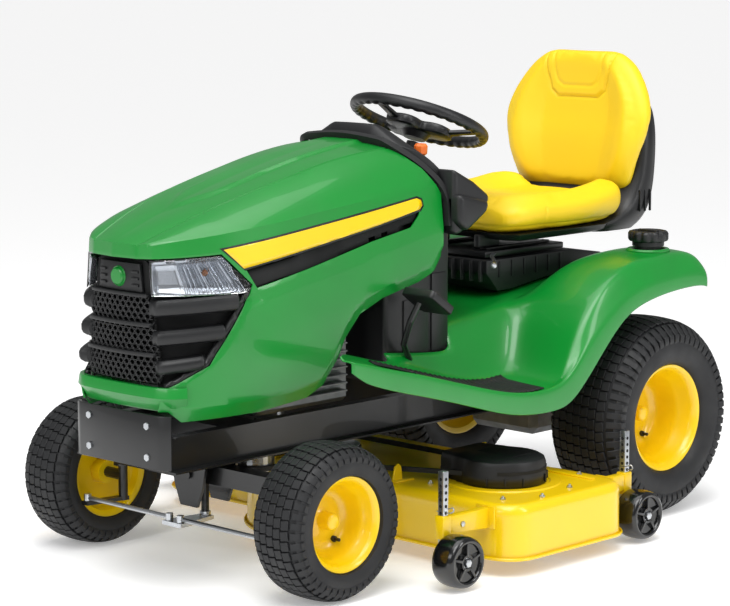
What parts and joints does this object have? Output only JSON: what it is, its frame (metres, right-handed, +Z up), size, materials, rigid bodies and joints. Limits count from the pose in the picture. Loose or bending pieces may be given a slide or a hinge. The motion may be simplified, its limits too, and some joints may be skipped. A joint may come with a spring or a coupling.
{
  "type": "riding lawn mower",
  "caption": "Lawn tractor with a front engine hood, steering wheel, padded seat, turf tyres and a height-adjustable mower deck with side discharge and gauge wheels.",
  "frame": {"origin": "centre of the machine's plan outline at ground level", "axes": "+Z up, -Y towards the front of the machine, +X towards its left side"},
  "size_m": [1.4244, 1.817, 1.236],
  "materials": {
    "green_enamel": "gloss",
    "yellow_enamel": "gloss",
    "yellow_vinyl": "satin",
    "black_plastic": "satin",
    "black_enamel": "satin",
    "tyre_rubber": "matte",
    "mat_rubber": "matte",
    "zinc_plated_steel": "satin",
    "cast_aluminium": "matte",
    "clear_lens": "gloss",
    "orange_plastic": "satin"
  },
  "bodies": {
    "chassis": {"frame_rail_left": "black_enamel", "frame_rail_right": "black_enamel", "axle_hanger": "black_enamel", "front_bumper": "black_enamel", "rear_hitch_plate": "black_enamel", "engine_block": "cast_aluminium", "engine_shroud": "black_plastic", "muffler": "zinc_plated_steel", "transaxle": "cast_aluminium", "fuel_tank": "black_plastic", "fender_deck": "green_enamel", "footrest_mat_left": "mat_rubber", "footrest_mat_right": "mat_rubber", "dash_console": "black_plastic", "steering_column": "black_enamel", "seat_mount": "black_plastic"},
    "hood": {"hood_shell": "green_enamel", "front_grille": "black_plastic", "headlight_left": "clear_lens", "headlight_right": "clear_lens"},
    "steering_wheel": {"steering_wheel": "black_plastic"},
    "axle": {"front_axle": "black_enamel"},
    "sector": {"steering_sector": "zinc_plated_steel"},
    "knuckle_left": {"knuckle_left": "black_enamel"},
    "knuckle_right": {"knuckle_right": "black_enamel"},
    "tie_rod_left": {"tie_rod_left": "zinc_plated_steel"},
    "tie_rod_right": {"tie_rod_right": "zinc_plated_steel"},
    "front_wheel_left": {"front_rim_left": "yellow_enamel", "front_tyre_left": "tyre_rubber"},
    "front_wheel_right": {"front_rim_right": "yellow_enamel", "front_tyre_right": "tyre_rubber"},
    "rear_wheel_left": {"rear_rim_left": "yellow_enamel", "rear_tyre_left": "tyre_rubber"},
    "rear_wheel_right": {"rear_rim_right": "yellow_enamel", "rear_tyre_right": "tyre_rubber"},
    "seat_carriage": {"seat_carriage": "black_enamel"},
    "seat": {"seat_shell": "black_plastic", "seat_cushion": "yellow_vinyl", "seat_backrest": "yellow_vinyl"},
    "brake_pedal": {"brake_pedal": "black_enamel"},
    "forward_pedal": {"forward_pedal": "black_enamel"},
    "reverse_pedal": {"reverse_pedal": "black_enamel"},
    "throttle_lever": {"throttle_lever": "orange_plastic"},
    "pto_knob": {"pto_knob": "yellow_enamel"},
    "lift_lever": {"lift_lever": "black_enamel"},
    "fuel_cap": {"fuel_cap": "black_plastic"},
    "pto_clutch": {"pto_clutch": "zinc_plated_steel"},
    "mower_deck": {"deck_shell": "yellow_enamel", "belt_cover_left": "black_plastic", "belt_cover_right": "black_plastic", "deck_belt": "mat_rubber", "pto_belt": "mat_rubber"},
    "blade_left": {"blade_left": "zinc_plated_steel"},
    "blade_centre": {"blade_centre": "zinc_plated_steel"},
    "blade_right": {"blade_right": "zinc_plated_steel"},
    "discharge_chute": {"discharge_chute": "black_plastic"},
    "gauge_wheel_front_left": {"gauge_wheel_front_left": "black_plastic"},
    "gauge_wheel_front_right": {"gauge_wheel_front_right": "black_plastic"},
    "gauge_wheel_rear_left": {"gauge_wheel_rear_left": "black_plastic"},
    "gauge_wheel_rear_right": {"gauge_wheel_rear_right": "black_plastic"}
  },
  "joints": [
    {"name": "hood_hinge", "type": "hinge", "parent": "chassis", "child": "hood", "pos_m": [0.07775, -0.8765, 0.452], "axis": [1, 0, 0], "range_deg": [0, 60]},
    {"name": "axle_oscillation", "type": "hinge", "parent": "chassis", "child": "axle", "pos_m": [0.07775, -0.6215, 0.245], "axis": [0, 1, 0], "range_deg": [-5, 5]},
    {"name": "steering_wheel_turn", "type": "hinge", "parent": "chassis", "child": "steering_wheel", "pos_m": [0.07775, 0.1505, 1.066], "axis": [0, 0.3811, 0.9245], "range_deg": [-270, 270]},
    {"name": "steer_left", "type": "hinge", "parent": "axle", "child": "knuckle_left", "pos_m": [0.38775, -0.6215, 0.188], "axis": [0, 0, 1], "range_deg": [-35, 35]},
    {"name": "steer_right", "type": "hinge", "parent": "axle", "child": "knuckle_right", "pos_m": [-0.23225, -0.6215, 0.188], "axis": [0, 0, 1], "range_deg": [-35, 35]},
    {"name": "sector_swing", "type": "hinge", "parent": "axle", "child": "sector", "pos_m": [0.07775, -0.6215, 0.129], "axis": [0, 0, 1], "range_deg": [-35, 35]},
    {"name": "tie_rod_left_swing", "type": "hinge", "parent": "sector", "child": "tie_rod_left", "pos_m": [0.09775, -0.7215, 0.142], "axis": [0, 0, 1], "range_deg": [-35, 35]},
    {"name": "tie_rod_right_swing", "type": "hinge", "parent": "sector", "child": "tie_rod_right", "pos_m": [0.05775, -0.7215, 0.142], "axis": [0, 0, 1], "range_deg": [-35, 35]},
    {"name": "front_wheel_left_spin", "type": "hinge", "parent": "knuckle_left", "child": "front_wheel_left", "pos_m": [0.50075, -0.6215, 0.188], "axis": [1, 0, 0], "continuous": true},
    {"name": "rear_wheel_left_spin", "type": "hinge", "parent": "chassis", "child": "rear_wheel_left", "pos_m": [0.44775, 0.6285, 0.267], "axis": [1, 0, 0], "continuous": true},
    {"name": "front_wheel_right_spin", "type": "hinge", "parent": "knuckle_right", "child": "front_wheel_right", "pos_m": [-0.34525, -0.6215, 0.188], "axis": [1, 0, 0], "continuous": true},
    {"name": "rear_wheel_right_spin", "type": "hinge", "parent": "chassis", "child": "rear_wheel_right", "pos_m": [-0.29225, 0.6285, 0.267], "axis": [1, 0, 0], "continuous": true},
    {"name": "seat_slide", "type": "slide", "parent": "chassis", "child": "seat_carriage", "axis": [0, 1, 0], "range_m": [-0.04, 0.05]},
    {"name": "seat_tilt", "type": "hinge", "parent": "seat_carriage", "child": "seat", "pos_m": [0.07775, 0.2885, 0.738], "axis": [1, 0, 0], "range_deg": [0, 38]},
    {"name": "brake_pedal_press", "type": "hinge", "parent": "chassis", "child": "brake_pedal", "pos_m": [0.31375, -0.1265, 0.47], "axis": [1, 0, 0], "range_deg": [0, 18], "stiffness_Nm_per_rad": 8, "springref_deg": -5.73},
    {"name": "forward_pedal_press", "type": "hinge", "parent": "chassis", "child": "forward_pedal", "pos_m": [-0.15825, -0.2565, 0.5], "axis": [1, 0, 0], "range_deg": [0, 14], "stiffness_Nm_per_rad": 4, "springref_deg": -5.73},
    {"name": "reverse_pedal_press", "type": "hinge", "parent": "chassis", "child": "reverse_pedal", "pos_m": [-0.15825, -0.1165, 0.47], "axis": [1, 0, 0], "range_deg": [0, 12], "stiffness_Nm_per_rad": 4, "springref_deg": -5.73},
    {"name": "throttle_swing", "type": "hinge", "parent": "chassis", "child": "throttle_lever", "pos_m": [0.22775, -0.0115, 0.94], "axis": [1, 0, 0], "range_deg": [-15, 15]},
    {"name": "pto_knob_pull", "type": "slide", "parent": "chassis", "child": "pto_knob", "axis": [0, 0.5839, 0.8118], "range_m": [0, 0.012]},
    {"name": "lift_lever_pull", "type": "hinge", "parent": "chassis", "child": "lift_lever", "pos_m": [-0.19725, 0.3335, 0.56], "axis": [1, 0, 0], "range_deg": [-35.2, 0]},
    {"name": "fuel_cap_lift", "type": "slide", "parent": "chassis", "child": "fuel_cap", "axis": [0, 0, 1], "range_m": [0, 0.06]},
    {"name": "deck_lift", "type": "slide", "parent": "chassis", "child": "mower_deck", "axis": [0, 0, 1], "range_m": [0, 0.075]},
    {"name": "pto_spin", "type": "hinge", "parent": "chassis", "child": "pto_clutch", "pos_m": [0.07775, -0.4585, 0.208], "axis": [0, 0, 1], "continuous": true},
    {"name": "blade_centre_spin", "type": "hinge", "parent": "mower_deck", "child": "blade_centre", "pos_m": [0.07775, -0.1615, 0.055], "axis": [0, 0, 1], "continuous": true},
    {"name": "blade_left_spin", "type": "hinge", "parent": "mower_deck", "child": "blade_left", "pos_m": [0.47975, 0.0335, 0.055], "axis": [0, 0, 1], "continuous": true},
    {"name": "blade_right_spin", "type": "hinge", "parent": "mower_deck", "child": "blade_right", "pos_m": [-0.32425, 0.0335, 0.055], "axis": [0, 0, 1], "continuous": true},
    {"name": "chute_hinge", "type": "hinge", "parent": "mower_deck", "child": "discharge_chute", "pos_m": [-0.56975, 0.0335, 0.166], "axis": [0, 1, 0], "range_deg": [0, 70]},
    {"name": "gauge_wheel_front_left_spin", "type": "hinge", "parent": "mower_deck", "child": "gauge_wheel_front_left", "pos_m": [0.67475, -0.3515, 0.072], "axis": [1, 0, 0], "continuous": true},
    {"name": "gauge_wheel_front_right_spin", "type": "hinge", "parent": "mower_deck", "child": "gauge_wheel_front_right", "pos_m": [-0.51925, -0.3515, 0.072], "axis": [1, 0, 0], "continuous": true},
    {"name": "gauge_wheel_rear_left_spin", "type": "hinge", "parent": "mower_deck", "child": "gauge_wheel_rear_left", "pos_m": [0.67475, 0.3435, 0.072], "axis": [1, 0, 0], "continuous": true},
    {"name": "gauge_wheel_rear_right_spin", "type": "hinge", "parent": "mower_deck", "child": "gauge_wheel_rear_right", "pos_m": [-0.51925, 0.3435, 0.072], "axis": [1, 0, 0], "continuous": true}
  ],
  "couplings": [
    {"joint": "steer_right", "follows": "steer_left", "ratio": 1},
    {"joint": "sector_swing", "follows": "steer_left", "ratio": 1},
    {"joint": "tie_rod_left_swing", "follows": "steer_left", "ratio": -1},
    {"joint": "tie_rod_right_swing", "follows": "steer_left", "ratio": -1},
    {"joint": "steering_wheel_turn", "follows": "steer_left", "ratio": 7.7},
    {"joint": "lift_lever_pull", "follows": "deck_lift", "rad_per_m": -8.14},
    {"joint": "blade_left_spin", "follows": "blade_centre_spin", "ratio": 1},
    {"joint": "blade_right_spin", "follows": "blade_centre_spin", "ratio": 1},
    {"joint": "pto_spin", "follows": "blade_centre_spin", "ratio": 1}
  ]
}
